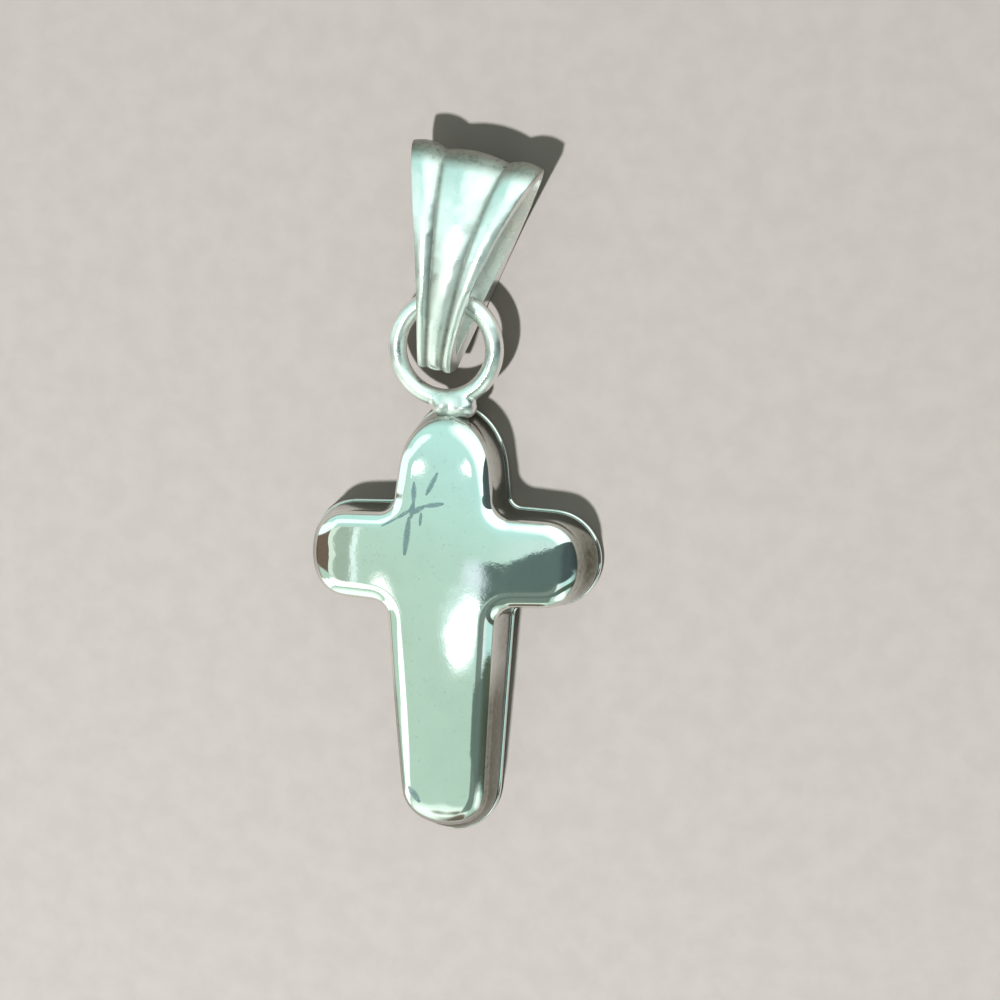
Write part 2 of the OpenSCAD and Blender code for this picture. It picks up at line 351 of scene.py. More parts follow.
def silver_material(name, look, worked=False, nicks=False):
    """Silver with soft dents, a fine grain, worn patches, and a dark colour where the mesh says so:
    tarnished joints, and painted shade on walls, shoulders, creases and the fold.
    """
    material = bpy.data.materials.new(name)
    s = Shader(material)
    place = s.add("ShaderNodeTexCoord", out="Object")
    # The mesh's mark: tarnish from soldering and at the plate's joint, and painted shade on the
    # cross's walls and shoulders and the bail's creases and fold
    seam = s.add("ShaderNodeAttribute", {"attribute_name": "seam"}, out="Fac")
    dents = s.noise(place, LUMP_WAVES if worked else DENT_WAVES, 1.0, 0.5)
    grain = s.noise(place, GRAIN_WAVES, 2.0, 0.65)
    hair = s.noise(place, HAIR_WAVES, 1.0, 0.5, HAIR_STRETCH, HAIR_TURN)
    shade_and_tarnish_amount = (seam * (grain * 0.4 + 0.8)).least(1.0)
    cloud = s.noise(place, CLOUD_WAVES, 3.0, 0.6).step(0.35, 0.75) * CLOUD_DEPTH
    spots = grain.step(0.58, 0.80) * SPOT_DEPTH
    colour = s.blend(tuple(look.silver), tuple(look.shade_and_tarnish),
                     (shade_and_tarnish_amount * SHADE_AND_TARNISH_DEPTH + spots + cloud).least(1.0))
    base = look.polish
    if worked:
        base = dents.step(0.44, 0.64, look.frost, look.frost * 0.7)
    rough = (dents.step(0.40, 0.72) * (look.worn * 0.12) + base
             + hair.step(0.58, 0.78) * HAIR_ROUGH + shade_and_tarnish_amount * look.worn + spots * look.worn)
    height = dents * ((look.hammer if worked else look.dent) / MM) + grain * GRAIN_HEIGHT
    if worked:
        height = height + s.noise(place, FLECK_WAVES, 1.0, 0.5) * FLECK_HEIGHT
    if nicks:
        cut = nick_mask(s, place) * place.dot((0.0, 0.0, 1.0)).step(NICK_LOW, NICK_HIGH)
        colour = s.blend(colour, tuple(look.nick), cut * (grain * 0.5 + 0.65))
        rough = rough + cut * NICK_ROUGH
    bump = s.add("ShaderNodeBump", {}, {"Strength": 1.0, "Distance": MM, "Height": height},
                 out="Normal")
    bsdf = s.add("ShaderNodeBsdfPrincipled", {},
                 {"Base Color": colour, "Metallic": 1.0, "Roughness": rough, "Normal": bump},
                 out="BSDF")
    show_surface(s, bsdf)
    return material


def mix(a, b, f):
    """a where f is 0 and b where it is 1."""
    return a + (b - a) * f


def settled(values, reach):
    """A closed row of values with its kinks smoothed over a number of places."""
    count = len(values)
    pitch = np.fft.rfftfreq(count)
    fade = np.exp(-2 * (np.pi * pitch * reach) ** 2)
    return np.fft.irfft(np.fft.rfft(values, axis=0) * fade[:, None], count, axis=0)


def add_piece(name, points, faces, material, nodes, seam):
    """A smooth piece that stands for CAD nodes and rides on the part's only body."""
    mesh = bpy.data.meshes.new(name)
    mesh.from_pydata([tuple(p) for p in points], [], faces)
    mesh.update()
    if mesh.validate():
        raise RuntimeError(f"the mesh of {name} had faults")
    mesh.shade_smooth()
    # Per-point mark of tarnish and painted shade
    marks = mesh.attributes.new("seam", "FLOAT", "POINT")
    marks.data.foreach_set("value", np.asarray(seam, np.float32))
    mesh.materials.append(material)
    piece = bpy.data.objects.new(name, mesh)
    bpy.context.scene.collection.objects.link(piece)
    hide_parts(*nodes)
    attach(piece, "root")
    return piece


def belt_faces(rows, columns, closed_rows=False):
    """Quads of a net of rows that close on themselves, and on each other if asked."""
    faces = []
    for r in range(rows if closed_rows else rows - 1):
        below, above = r * columns, (r + 1) % rows * columns
        for c in range(columns):
            d = (c + 1) % columns
            faces.append((below + c, below + d, above + d, above + c))
    return faces


# The arms: turn in degrees, then the names of reach, root width, end width, round end and the
# wall's lean at the end
ARMS = [
    (0, "side_reach", "side_root_w", "side_end_w", "side_round", "end_wall_lean"),
    (90, "top_reach", "top_root_w", "top_end_w", "top_round", "wall_lean"),
    (180, "side_reach", "side_root_w", "side_end_w", "side_round", "end_wall_lean"),
    (270, "low_reach", "low_root_w", "low_end_w", "low_round", "end_wall_lean"),
]
CORNER_STEPS, SIDE_STEPS, END_STEPS = 14, 26, 34
EDGE_STEPS, WALL_STEPS, SHOULDER_STEPS, CROWN_STEPS = 6, 8, 30, 16
BACK_STEPS = (1.0, 0.8, 0.6, 0.4, 0.2, 0.0)
SHOULDER_POWER = 3.0
END_POWER = 2.5
OUTLINE_SETTLE = 3.0
BACK_INSET = 0.25 * MM
EDGE_SHARE = 0.35
SEAM_INSET, SEAM_BELOW, SEAM_ABOVE = 0.012 * MM, 0.01 * MM, 0.02 * MM
WALL_FOOT = 0.03 * MM
# 0 for a straight wall and 1 for one that leans in only near its top
WALL_BOW = 0.65
WELD_REACH = 0.004 * MM
# How far down the lower arm, in mm, painted shade starts on its walls, and over what length
PAINTED_SHADE_FROM, PAINTED_SHADE_OVER = 4.2, 1.4
# Tarnish of the plate's edge, the joint of plate and shell and the foot of the wall; painted shade
# and painted dark reflection on the wall up to the shoulder
EDGE_MARK, SEAM_MARK, FOOT_MARK, WALL_PAINTED_SHADE = 0.25, 1.0, 0.8, 0.70
# The share of the wall's painted shade that is gone at the top of the wall, along the sides
WALL_FADE = 0.55
# Painted shade at the foot of the shoulder and how far up it fades out, along the sides and at the
# ends
SHOULDER_PAINTED_SHADE, SHOULDER_FADE = (0.35, 0.90), (0.15, 0.35)


def half_arm(size, arm, beside, side):
    """Half an arm from the inner corner to the tip: outline x, y, axis x, y, endness, lean."""
    reach, root, end, curve, lean = (getattr(size, name) for name in arm[1:])
    root, end, beside = root / 2, end / 2, beside / 2
    centre = reach - curve
    bend = size.corner_r
    axis_root = max(size.top_root_w, size.low_root_w, size.side_root_w) / 2 + bend
    rows = []
    for i in range(CORNER_STEPS + 1):
        f = i / CORNER_STEPS
        a = math.radians(45 * (1 - f))
        rows.append((beside + bend * (1 - math.sin(a)), side * (root + bend * (1 - math.cos(a))),
                     axis_root * f, 0.0, 0.0, size.wall_lean))
    for i in range(1, SIDE_STEPS + 1):
        f = i / SIDE_STEPS
        rows.append((mix(beside + bend, centre, f), side * mix(root, end, f),
                     mix(axis_root, centre, f), 0.0, 0.0, size.wall_lean))
    for i in range(1, END_STEPS + 1):
        a = math.pi / 2 * i / END_STEPS
        endness = math.sin(a) ** END_POWER
        rows.append((centre + curve * math.sin(a), side * end * math.cos(a), centre, 0.0,
                     endness, mix(size.wall_lean, lean, endness)))
    return rows


def outline_columns(size):
    """The whole outline, anticlockwise, with the axis points behind it."""
    table = []
    for k, arm in enumerate(ARMS):
        before = half_arm(size, arm, getattr(size, ARMS[(k + 3) % 4][2]), -1)
        after = half_arm(size, arm, getattr(size, ARMS[(k + 1) % 4][2]), 1)
        turn = math.radians(arm[0])
        c, s = math.cos(turn), math.sin(turn)
        for x, y, u, v, endness, lean in before + after[-2:0:-1]:
            table.append((x * c - y * s, x * s + y * c, u * c - v * s, u * s + v * c, endness,
                          lean))
    return np.array(table)


def face_height(size, x, y):
    """The domed face before its shoulder."""
    def fall(at, reach, end):
        return (size.face_h - end) * (np.abs(at) / reach) ** 2
    return (size.face_h - fall(x, size.side_reach, size.side_end_h)
            - np.where(y > 0, fall(y, size.top_reach, size.top_end_h),
                       fall(y, size.low_reach, size.low_end_h)))


def cross_net(size):
    """Rows of points from the middle of the back over the plate, wall and shoulder to the axes."""
    exact = outline_columns(size)
    table = settled(exact, OUTLINE_SETTLE)
    outline, axis, endness, lean = table[:, :2], table[:, 2:4], table[:, 4], table[:, 5]
    way = axis - outline
    room = np.linalg.norm(way, axis=1)
    way = way / room[:, None]

    def row(inset, z):
        inset = np.broadcast_to(inset, room.shape)
        return np.c_[outline + way * inset[:, None], np.broadcast_to(z, room.shape)]

    rows, seam = [], []

    def put(inset, z, mark=0.0):
        rows.append(row(inset, z))
        seam.append(np.broadcast_to(mark, room.shape))

    edge = outline + way * BACK_INSET
    for f in BACK_STEPS:
        rows.append(np.c_[mix(edge, exact[:, 2:4], f), np.zeros(len(room))])
        seam.append(np.zeros(len(room)))
    thick = size.plate_t
    soft = EDGE_SHARE * thick
    turns = [math.pi / 2 * i / EDGE_STEPS for i in range(EDGE_STEPS + 1)]
    for a in turns:
        put(soft * (1 - math.sin(a)), soft * (1 - math.cos(a)))
    for i, a in enumerate(turns):
        put(soft * (1 - math.cos(a)) * 0.9, thick - soft * (1 - math.sin(a)),
            EDGE_MARK * i / EDGE_STEPS)
    foot = size.plate_rim
    put(foot + SEAM_INSET, thick - SEAM_BELOW, SEAM_MARK)
    put(foot + SEAM_INSET, thick + SEAM_ABOVE, FOOT_MARK)
    w = np.minimum(mix(size.shoulder_w, size.end_shoulder_w, endness), 0.9 * room - foot - lean)
    h = mix(size.shoulder_h, size.end_shoulder_h, endness)
    start = outline + way * (foot + lean)[:, None]
    wall_top = face_height(size, start[:, 0], start[:, 1]) - h
    # Painted shade: walls and the shoulder's foot are darker at the arms' ends and low on the lower
    # arm
    low_down = np.clip((-outline[:, 1] / MM - PAINTED_SHADE_FROM) / PAINTED_SHADE_OVER, 0.0, 1.0)
    shade = np.maximum(endness, low_down)
    # The wall's rows, darkened with painted shade
    for i in range(1, WALL_STEPS + 1):
        f = i / (WALL_STEPS + 1)
        put(foot + lean * mix(f, f * f, WALL_BOW), mix(thick + WALL_FOOT, wall_top, f),
            mix(WALL_PAINTED_SHADE, 1.0, shade) * (1 - WALL_FADE * (1 - shade) * f ** 3))
    lean = lean + foot
    # The shoulder's rows, with painted shade at their foot
    for i in range(SHOULDER_STEPS + 1):
        f = 1 - math.cos(math.pi / 2 * i / SHOULDER_STEPS)
        rise = (1 - (1 - f) ** SHOULDER_POWER) ** (1 / SHOULDER_POWER)
        p = outline + way * (lean + f * w)[:, None]
        put(lean + f * w, face_height(size, p[:, 0], p[:, 1]) - h * (1 - rise),
            mix(*SHOULDER_PAINTED_SHADE, shade) * np.maximum(0.0, 1 - f / mix(*SHOULDER_FADE, shade)))
    crest = outline + way * (lean + w)[:, None]
    for i in range(1, CROWN_STEPS + 1):
        p = mix(crest, exact[:, 2:4], i / CROWN_STEPS)
        rows.append(np.c_[p, face_height(size, p[:, 0], p[:, 1])])
        seam.append(np.zeros(len(room)))
    return np.array(rows), np.array(seam)


class PENDANT_OT_cross(bpy.types.Operator):
    """Build the puffed cross: the domed shell on its back plate"""

    bl_idname = "pendant.cross"
    bl_label = "Cross"

    def execute(self, context):
        size = context.scene.pendant_cross
        rows, seam = cross_net(size)
        count, columns = rows.shape[:2]
        points = rows.reshape(-1, 3)
        faces = belt_faces(count, columns)
        metal = silver_material("polished_silver", context.scene.pendant_silver, nicks=True)
        piece = add_piece("puffed_cross", points, faces, metal, ["cross"],
                          seam.ravel())
        weld(piece, WELD_REACH)
        return {"FINISHED"}


def weld(piece, reach):
    """Join the points that meet on the axes, so the face is one smooth skin."""
    net = bmesh.new()
    net.from_mesh(piece.data)
    bmesh.ops.remove_doubles(net, verts=net.verts, dist=reach)
    bmesh.ops.dissolve_degenerate(net, edges=net.edges, dist=reach / 4)
    bmesh.ops.recalc_face_normals(net, faces=net.faces)
    net.to_mesh(piece.data)
    net.free()
    piece.data.shade_smooth()


RING_STEPS, WIRE_STEPS = 192, 48
# How much and how far round the ring, in radians, the soldering has dulled it
SOOT_MARK, SOOT_SPREAD = 0.35, 0.34


def ring_middle(ring):
    """Middle of the jump ring, from the CAD box's far end."""
    return Vector((-ring.ring_offset, CROSS_HIGH.y - ring.ring_od / 2, ring.ring_level))


class PENDANT_OT_ring(bpy.types.Operator):
    """Build the jump ring and the bead of solder that holds it"""

    bl_idname = "pendant.ring"
    bl_label = "Jump ring"

    def execute(self, context):
        cross, ring = context.scene.pendant_cross, context.scene.pendant_ring
        look = context.scene.pendant_silver
        metal = silver_material("ring_silver", look, worked=True)
        middle = ring_middle(ring)
        wire = ring.wire_d / 2
        sweep = (ring.ring_od - ring.wire_d) / 2
        points, seam = [], []
        for i in range(RING_STEPS):
            a = 2 * math.pi * i / RING_STEPS
            out = Vector((math.cos(a), math.sin(a), 0.0))
            near = math.exp(-((a - 1.5 * math.pi) / SOOT_SPREAD) ** 2)
            for j in range(WIRE_STEPS):
                b = 2 * math.pi * j / WIRE_STEPS
                rise = Vector((0, 0, wire * math.sin(b)))
                points.append(middle + out * (sweep + wire * math.cos(b)) + rise)
                seam.append(SOOT_MARK * near)
        add_piece("jump_ring", points, belt_faces(RING_STEPS, WIRE_STEPS, True), metal,
                  ["cross"], seam)
        points, faces, seam = solder_net(cross, ring, middle, sweep, wire)
        add_piece("solder_bead", points, faces, metal, ["cross"], seam)
        return {"FINISHED"}


# Lumps on the bead: middle x, y, z from the bead's own and radius, in mm
LUMPS = [(-0.42, 0.05, 0.14, 0.36), (0.38, 0.02, 0.10, 0.40), (0.02, -0.12, 0.0, 0.40)]
BEAD_TURNS, BEAD_RINGS, BEAD_LOOKS, BEAD_HALVINGS = 120, 72, 90, 14
BEAD_REACH = 1.25 * MM
# The bead reaches no further than this, and a little further to its sides
BEAD_LIMIT, BEAD_SQUASH = 1.0 * MM, (0.85, 1.0, 1.0)
LUMP_FILLET, RING_FILLET = 0.08 * MM, 0.22 * MM
# The bead's skin sinks this far into the ring's wire, so the two do not fight for one place
SINK = 0.004 * MM
# Tarnish round the bead: how much, how far from its middle, and how wide
BEAD_MARK, BEAD_MARK_AT, BEAD_MARK_SPREAD = 0.25, 0.62 * MM, 0.12 * MM


def soft_union(a, b, reach):
    """Distance to two shapes joined by a fillet."""
    f = np.clip(0.5 + 0.5 * (b - a) / reach, 0.0, 1.0)
    return mix(b, a, f) - reach * f * (1 - f)


def solder_net(cross, ring, middle, sweep, wire):
    """The bead: found along rays from its middle, where bead and ring flow together."""
    heart = np.array((ring.solder_offset, cross.top_reach, ring.ring_level))
    radius = ring.solder_d / 2
    half = ring.solder_w / 2 - radius

    def depth(p):
        q = p - heart
        core = np.stack([q[..., 0] - np.clip(q[..., 0], -half, half), q[..., 1], q[..., 2]], -1)
        bead = np.linalg.norm(core, axis=-1) - radius
        for x, y, z, r in LUMPS:
            lump = np.linalg.norm(q - np.array((x, y, z)) * MM, axis=-1) - r * MM
            bead = soft_union(bead, lump, LUMP_FILLET)
        m = p - np.array(middle)
        flat = np.hypot(m[..., 0], m[..., 1]) - sweep
        hoop = np.hypot(flat, m[..., 2]) - wire + SINK
        whole = soft_union(bead, hoop, RING_FILLET)
        return np.maximum(whole, np.linalg.norm(q * np.array(BEAD_SQUASH), axis=-1) - BEAD_LIMIT)

    lat = np.linspace(0, math.pi, BEAD_RINGS + 1)
    lon = np.linspace(0, 2 * math.pi, BEAD_TURNS, endpoint=False)
    way = np.stack([np.cos(lat)[:, None] * np.ones(BEAD_TURNS),
                    np.sin(lat)[:, None] * np.cos(lon),
                    np.sin(lat)[:, None] * np.sin(lon)], -1)
    stride = BEAD_REACH / BEAD_LOOKS
    hit = np.full(way.shape[:2], BEAD_REACH)
    done = np.zeros(way.shape[:2], bool)
    for i in range(1, BEAD_LOOKS + 1):
        outside = depth(heart + way * (stride * i)) > 0
        hit[outside & ~done] = stride * i
        done |= outside
    low, high = hit - stride, hit
    for _ in range(BEAD_HALVINGS):
        centre = (low + high) / 2
        outside = depth(heart + way * centre[..., None]) > 0
        high = np.where(outside, centre, high)
        low = np.where(outside, low, centre)
    net = heart + way * ((low + high) / 2)[..., None]
    points = net[1:-1].reshape(-1, 3).tolist() + [net[0, 0].tolist(), net[-1, 0].tolist()]
    rows = BEAD_RINGS - 1
    faces = belt_faces(rows, BEAD_TURNS)
    first, foot = rows * BEAD_TURNS, (rows - 1) * BEAD_TURNS
    for c in range(BEAD_TURNS):
        d = (c + 1) % BEAD_TURNS
        faces.append((first, d, c))
        faces.append((first + 1, foot + c, foot + d))
    away = np.linalg.norm(np.array(points) - heart, axis=1)
    seam = BEAD_MARK * np.exp(-((away - BEAD_MARK_AT) / BEAD_MARK_SPREAD) ** 2)
    return points, faces, seam


LOOP_STEPS = 260
ACROSS_SIDE, ACROSS_MIDDLE = 16, 30
LOOP_POWER = 0.25
FRONT_FLARE, BACK_FLARE = 1.6, 1.2
STRIP_ARCH, SIDE_LIFT, TIP_RELIEF, RELIEF_FADE = -0.4, 0.8, 0.35, 0.5
TIP_CUT = math.radians(3)
CREASE_SPREAD = 0.11 * MM
# How dark the creases get, real tarnish widened with painted shade, and how dark the fold's top
# gets, painted shade standing in for a dark reflection
CREASE_TARNISH_AND_SHADE, FOLD_PAINTED_SHADE = 0.8, 0.8
# The share of the strip's length where painted shade starts on the fold, and over what share
FOLD_FROM, FOLD_OVER = 0.91, 0.05
# The bevel that rounds the strip's cut edges
EDGE_SEGMENTS, SHARP_EDGE = 4, math.radians(55)


def bail_net(size):
    """The strip's outer and inner skins, from the tip over the fold and back to the tip."""
    a = np.linspace(TIP_CUT, 2 * math.pi - TIP_CUT, LOOP_STEPS)
    shape = np.sin(a) * np.abs(np.sin(a / 2)) ** LOOP_POWER
    peak_at = np.radians(np.linspace(90, 130, 400))
    peak = (np.sin(peak_at) * np.sin(peak_at / 2) ** LOOP_POWER).max()
    along = (1 - np.cos(a)) / 2
    u_out = size.bail_len * along
    w_out = (size.bail_depth / 2 * shape / peak
             + size.tip_h / 2 * np.cos(a / 2) * np.abs(np.cos(a / 2)))
    u_in = size.tip_len + (size.bail_len - size.tip_len - size.strip_t) * along
    w_in = (size.bail_depth / 2 - size.strip_t) * shape / peak
    du, dw = np.gradient(u_out, a), np.gradient(w_out, a)
    run = np.hypot(du, dw)
    nu, nw = -dw / run, du / run
    half = mix(size.tip_w, size.fold_w,
               along ** np.where(a < math.pi, FRONT_FLARE, BACK_FLARE)) / 2
    m = size.middle_share
    side = np.linspace(-1, -m, ACROSS_SIDE + 1)
    v = np.concatenate([side[:-1], np.linspace(-m, m, ACROSS_MIDDLE + 1), -side[::-1][1:]])
    lobe = np.where(np.abs(v) <= m, 1 - (v / m) ** 2,
                    SIDE_LIFT * (1 - (2 * (np.abs(v) - m) / (1 - m) - 1) ** 2))
    relief = (size.flute_depth * mix(TIP_RELIEF, 1.0, along)[:, None]
              * (lobe - 1 - STRIP_ARCH * v ** 2)[None])

    def skin(u, w, fade):
        return np.stack([v[None] * half[:, None], u[:, None] + nu[:, None] * relief * fade,
                         w[:, None] + nw[:, None] * relief * fade], -1)

    outer = skin(u_out, w_out, 1.0)
    inner = skin(u_in, w_in, (along ** RELIEF_FADE)[:, None])
    crease = np.exp(-((np.abs(v) - m) * half[:, None] / CREASE_SPREAD) ** 2)
    return outer, inner, crease, along


def bail_place(points, size, middle):
    """Turns the strip to its rise and lean, sets its tip in the ring and its belly on the floor."""
    rise, lean = size.bail_rise, size.bail_lean
    x = points[..., 0]
    y = points[..., 1] * math.cos(rise) - points[..., 2] * math.sin(rise)
    z = points[..., 2] * math.cos(rise) + points[..., 1] * math.sin(rise)
    c, s = math.cos(lean), math.sin(lean)
    z = z - z.min()
    return np.stack([x * c + y * s + middle.x - size.tip_left,
                     -x * s + y * c + middle.y - size.tip_back, z], -1)


class PENDANT_OT_bail(bpy.types.Operator):
    """Build the folded, fluted bail"""

    bl_idname = "pendant.bail"
    bl_label = "Bail"

    def execute(self, context):
        size, ring = context.scene.pendant_bail, context.scene.pendant_ring
        middle = ring_middle(ring)
        outer, inner, crease, along = bail_net(size)
        rows, columns = outer.shape[:2]
        skins = bail_place(np.concatenate([outer, inner]), size, middle)
        points = skins.reshape(-1, 3)
        inside = rows * columns
        faces = []
        for r in range(rows):
            n = (r + 1) % rows
            for c in range(columns - 1):
                p, q = r * columns + c, n * columns + c
                faces.append((p, q, q + 1, p + 1))
                faces.append((p + inside, p + 1 + inside, q + 1 + inside, q + inside))
            for c, flip in ((0, False), (columns - 1, True)):
                p, q = r * columns + c, n * columns + c
                face = (p, p + inside, q + inside, q)
                faces.append(face[::-1] if flip else face)
        # Painted shade over the top of the fold, and tarnish with painted shade along the creases
        turned = np.clip((along - FOLD_FROM) / FOLD_OVER, 0.0, 1.0)[:, None] * np.ones(columns)
        outside = np.maximum(crease * CREASE_TARNISH_AND_SHADE, turned * FOLD_PAINTED_SHADE)
        shade_and_tarnish_amount = np.concatenate([outside.ravel(), np.zeros(rows * columns)])
        metal = silver_material("fluted_silver", context.scene.pendant_silver, worked=True)
        piece = add_piece("fluted_bail", points, faces, metal, ["bail"], shade_and_tarnish_amount)
        edge = piece.modifiers.new("cut edges", "BEVEL")
        edge.width = size.edge_r
        edge.segments = EDGE_SEGMENTS
        edge.limit_method = "ANGLE"
        edge.angle_limit = SHARP_EDGE
        edge.use_clamp_overlap = True
        apply_modifiers(piece)
        return {"FINISHED"}


def apply_modifiers(piece):
    """Bake the piece's modifiers into its mesh."""
    graph = bpy.context.evaluated_depsgraph_get()
    made = bpy.data.meshes.new_from_object(piece.evaluated_get(graph))
    piece.modifiers.clear()
    piece.data = made


# What the room shows to the metal: the direction x, y of a patch on the sky, its radius from core
# to rim, and its tone
PATCHES = [
    ((0.45, 0.55), (0.50, 0.72), (1.15, 1.45, 1.38)),
    ((0.12, -0.28), (0.10, 0.34), (0.76, 0.93, 0.90)),
    ((0.44, -0.66), (0.14, 0.28), (1.05, 1.25, 1.15)),
    ((-0.36, -0.90), (0.34, 0.43), (0.82, 1.04, 0.91)),
    ((-0.36, -1.00), (0.34, 0.42), (1.05, 1.28, 1.14)),
    ((-0.13, -0.97), (0.09, 0.20), (0.18, 0.16, 0.12)),
    ((-0.21, -0.74), (0.02, 0.12), (0.22, 0.24, 0.18)),
    ((-0.80, 0.08), (0.20, 0.26), (1.00, 1.30, 1.26)),
    ((-0.53, 0.30), (0.12, 0.18), (1.00, 1.30, 1.26)),
    ((-0.49, -0.33), (0.08, 0.11), (1.45, 1.60, 1.50)),
    ((-0.56, -0.37), (0.07, 0.11), (1.45, 1.60, 1.50)),
    ((-0.70, -0.47), (0.07, 0.13), (1.45, 1.60, 1.50)),
    ((-0.86, -0.62), (0.14, 0.20), (1.45, 1.60, 1.50)),
    ((-0.400, -0.222), (0.012, 0.032), (1.35, 1.45, 1.40)),
    ((-0.195, -0.195), (0.0, 0.04), (0.80, 0.97, 1.02)),
    ((-0.217, -0.262), (0.030, 0.066), (0.74, 0.98, 0.94)),
    ((-0.205, -0.250), (0.010, 0.036), (5.0, 5.2, 5.0)),
    ((-0.227, -0.274), (0.010, 0.036), (5.0, 5.2, 5.0)),
    ((-0.335, 0.062), (0.004, 0.026), (4.0, 4.2, 4.0)),
    ((-0.370, 0.064), (0.006, 0.030), (4.0, 4.2, 4.0)),
    ((-0.203, 0.076), (0.004, 0.026), (4.0, 4.2, 4.0)),
]
# How many of them lie under the strips and the dark parts
WIDE_PATCHES = 13
# Upright strips low on the left: the place x where each starts, and its tone
STRIPS = [
    (-0.454, (0.86, 1.08, 1.02)),
    (-0.467, (0.38, 0.50, 0.41)),
    (-0.505, (0.72, 0.90, 0.76)),
    (-0.610, (0.17, 0.13, 0.10)),
]
# The plain sky: its left, its right, the way from one to the other, and its rim by the floor
SKY_LEFT, SKY_RIGHT, SKY_TURN = (0.49, 0.70, 0.58), (0.54, 0.88, 0.82), (0.5, 0.85, 0.0)
SKY_RIM = (0.34, 0.31, 0.26)
# The dark parts: two that fade from near to far, and one plain
ARM_NEAR, ARM_FAR = (0.11, 0.17, 0.155), (0.07, 0.10, 0.10)
FOOT_NEAR, FOOT_FAR, UNDER_ARM = (0.14, 0.215, 0.20), (0.09, 0.12, 0.085), (0.14, 0.195, 0.165)


def make_room(look):
    """A pale green sky with bright sides, dark parts and small bright windows."""
    world = bpy.data.worlds.new("room")
    bpy.context.scene.world = world
    s = Shader(world)
    way = s.add("ShaderNodeTexCoord", out="Generated")
    flat = way.times((1.0, 1.0, 0.0))
    across, along, up = (way.dot(axis) for axis in ((1, 0, 0), (0, 1, 0), (0, 0, 1)))

    def lit(sky, patches, above):
        for (x, y), (core, rim), colour in patches:
            near = flat.minus((x, y, 0.0)).size().step(rim, core)
            sky = s.blend(sky, colour, near * above)
        return sky

    sky = s.blend(SKY_LEFT, SKY_RIGHT, way.dot(SKY_TURN).step(-0.42, 0.05))
    sky = s.blend(SKY_RIM, sky, up.step(0.05, 0.35))
    sky = lit(sky, PATCHES[:WIDE_PATCHES], up.step(-0.02, 0.05))
    low_left = along.step(-0.26, -0.22) * along.step(0.0, -0.04)
    for place, colour in STRIPS:
        sky = s.blend(sky, colour, across.step(place + 0.003, place - 0.003) * low_left)
    # The dark part that the right arm mirrors, up to a sloping line
    line = (across * 0.533 - 0.11).most(-0.175)
    dark = (across.step(-0.190, -0.170) * (line - along).step(-0.002, 0.003)
            * along.step(-0.250, -0.225))
    deep = (across - along).step(0.25, 0.60)
    sky = s.blend(sky, s.blend(ARM_NEAR, ARM_FAR, deep), dark)
    # The one that the right shoulder of the lower arm mirrors
    edge = along.step(-0.410, -0.465) * 0.22 - 0.18
    dark = ((across - edge).step(-0.010, 0.010) * along.step(-0.325, -0.345)
            * along.step(-0.520, -0.470))
    sky = s.blend(sky, s.blend(FOOT_NEAR, FOOT_FAR, across.step(0.0, 0.5)), dark)
    # The plain one, which the right arm's lower shoulder mirrors
    below = across.step(-0.160, -0.125) * across.step(0.14, 0.08) * along.step(-0.82, -0.74)
    sky = s.blend(sky, UNDER_ARM, below * along.step(-0.205, -0.235) * 0.9)
    sky = lit(sky, PATCHES[WIDE_PATCHES:], up.step(0.0, 0.1))
    light = s.add("ShaderNodeBackground", {}, {"Color": sky, "Strength": look.sky},
                  out="Background")
    show_surface(s, light, "ShaderNodeOutputWorld")


FLOOR_HALF = 0.6
FLOOR_WAVES = 900.0
FLOOR_ROUGH = 0.85
# The floor's tone in the clouds' dark and light, as shares of its own
CLOUD_TONES = (0.97, 1.03)


def floor_material(look):
    """A plain pale floor with a faint cloud in its tone."""
    material = bpy.data.materials.new("pale_floor")
    s = Shader(material)
    place = s.add("ShaderNodeTexCoord", out="Object")
    cloud = s.noise(place, FLOOR_WAVES, 3.0, 0.6)
    base = tuple(look.floor)
    dark, light = (tuple(c * f for c in base) for f in CLOUD_TONES)
    colour = s.blend(dark, light, cloud.step(0.30, 0.70))
    bsdf = s.add("ShaderNodeBsdfPrincipled", {},
                 {"Base Color": colour, "Roughness": FLOOR_ROUGH}, out="BSDF")
    show_surface(s, bsdf)
    return material


LAMP_AWAY = 0.32
KEY_WAY, KEY_SIZE, KEY_COLOUR = Vector((-0.22, -0.46, 1.0)), 20 * MM, (0.76, 0.94, 1.0)
GLINT_WAY, GLINT_SIZE = Vector((-0.17, -0.08, 0.98)), 14 * MM
WORKED_PIECES = ("jump_ring", "solder_bead", "fluted_bail")
SENSOR = 36.0
CLIP_NEAR, CLIP_FAR = 0.005, 5.0
# The camera's place, to its right and up, that frames the pendant as in the picture
SHIFT_RIGHT, SHIFT_UP = 1.70 * MM, 2.04 * MM


def hang_lamp(name, way, size, power):
    """A round lamp that shines on the pendant from a direction."""
    light = bpy.data.lights.new(name, "AREA")
    light.shape = "DISK"
    light.size = size
    light.energy = power
    lamp = bpy.data.objects.new(name, light)
    way = way.normalized()
    lamp.location = way * LAMP_AWAY
    lamp.rotation_mode = "QUATERNION"
    lamp.rotation_quaternion = way.to_track_quat("Z", "Y")
    bpy.context.scene.collection.objects.link(lamp)
    return lamp


def camera_axes(look):
    """Right, up and back of the camera for its tilt, side and roll."""
    t, p = look.tilt, look.side
    back = Vector((math.sin(t) * math.cos(p), math.sin(t) * math.sin(p), math.cos(t)))
    up = Vector((-math.sin(look.roll), math.cos(look.roll), 0.0))
    right = up.cross(back).normalized()
    return right, back.cross(right), back


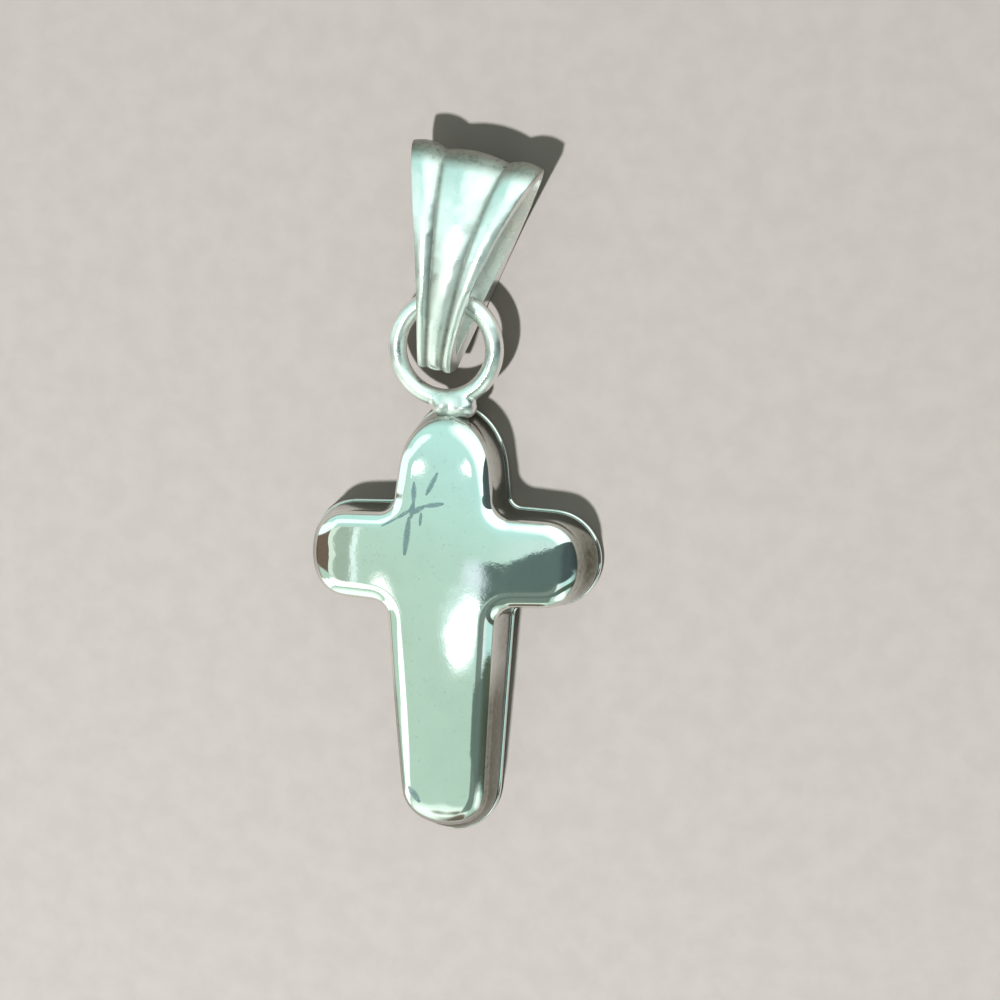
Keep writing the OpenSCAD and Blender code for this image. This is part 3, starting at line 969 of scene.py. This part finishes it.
class PENDANT_OT_stage(bpy.types.Operator):
    """Build the pale floor, the room's light and the camera"""

    bl_idname = "pendant.stage"
    bl_label = "Stage"

    def execute(self, context):
        scene = context.scene
        look = scene.pendant_stage
        mesh = bpy.data.meshes.new("floor")
        r = FLOOR_HALF
        mesh.from_pydata([(-r, -r, 0), (r, -r, 0), (r, r, 0), (-r, r, 0)], [], [(0, 1, 2, 3)])
        mesh.materials.append(floor_material(look))
        floor = bpy.data.objects.new("floor", mesh)
        scene.collection.objects.link(floor)
        make_room(look)
        key = hang_lamp("key", KEY_WAY, KEY_SIZE, look.key_power)
        key.data.color = KEY_COLOUR
        key.visible_glossy = False
        glint = hang_lamp("glint", GLINT_WAY, GLINT_SIZE, look.glint_power)
        worked = bpy.data.collections.new("worked silver")
        for piece in scene.objects:
            if piece.name in WORKED_PIECES:
                worked.objects.link(piece)
        glint.light_linking.receiver_collection = worked
        right, up, back = camera_axes(look)
        lens = bpy.data.cameras.new("camera")
        lens.sensor_width = SENSOR
        lens.lens = SENSOR * look.distance / look.view_w
        lens.clip_start, lens.clip_end = CLIP_NEAR, CLIP_FAR
        camera = bpy.data.objects.new("camera", lens)
        turn = Matrix((right, up, back)).transposed()
        place = back * look.distance + right * SHIFT_RIGHT + up * SHIFT_UP
        camera.matrix_world = Matrix.Translation(place) @ turn.to_4x4()
        scene.collection.objects.link(camera)
        scene.camera = camera
        scene.view_settings.view_transform = "Standard"
        return {"FINISHED"}


class PENDANT_PT_panel(bpy.types.Panel):
    """The pendant's builders and sizes"""

    bl_idname = "PENDANT_PT_panel"
    bl_label = "Pendant"
    bl_space_type = "VIEW_3D"
    bl_region_type = "UI"
    bl_category = "Pendant"

    def draw(self, context):
        for operator in OPERATORS:
            self.layout.operator(operator.bl_idname)
        for name in GROUPS:
            group = getattr(context.scene, name)
            column = self.layout.column(align=True)
            for key in group.__annotations__:
                column.prop(group, key)


GROUPS = {
    "pendant_cross": CrossSizes,
    "pendant_ring": RingSizes,
    "pendant_bail": BailSizes,
    "pendant_silver": SilverLook,
    "pendant_stage": StageLook,
}
OPERATORS = [PENDANT_OT_cross, PENDANT_OT_ring, PENDANT_OT_bail, PENDANT_OT_stage]


def register():
    """Add the sizes to the scene and the builders to Blender."""
    for item in [*GROUPS.values(), *OPERATORS, PENDANT_PT_panel]:
        bpy.utils.register_class(item)
    for name, group in GROUPS.items():
        setattr(bpy.types.Scene, name, PointerProperty(type=group))


def unregister():
    """Take them away again."""
    for name in GROUPS:
        delattr(bpy.types.Scene, name)
    for item in [PENDANT_PT_panel, *reversed(OPERATORS), *reversed(list(GROUPS.values()))]:
        bpy.utils.unregister_class(item)


def main():
    """Build the pendant and its stage."""
    register()
    bpy.ops.pendant.cross()
    bpy.ops.pendant.ring()
    bpy.ops.pendant.bail()
    bpy.ops.pendant.stage()


if __name__ == "__main__":
    main()
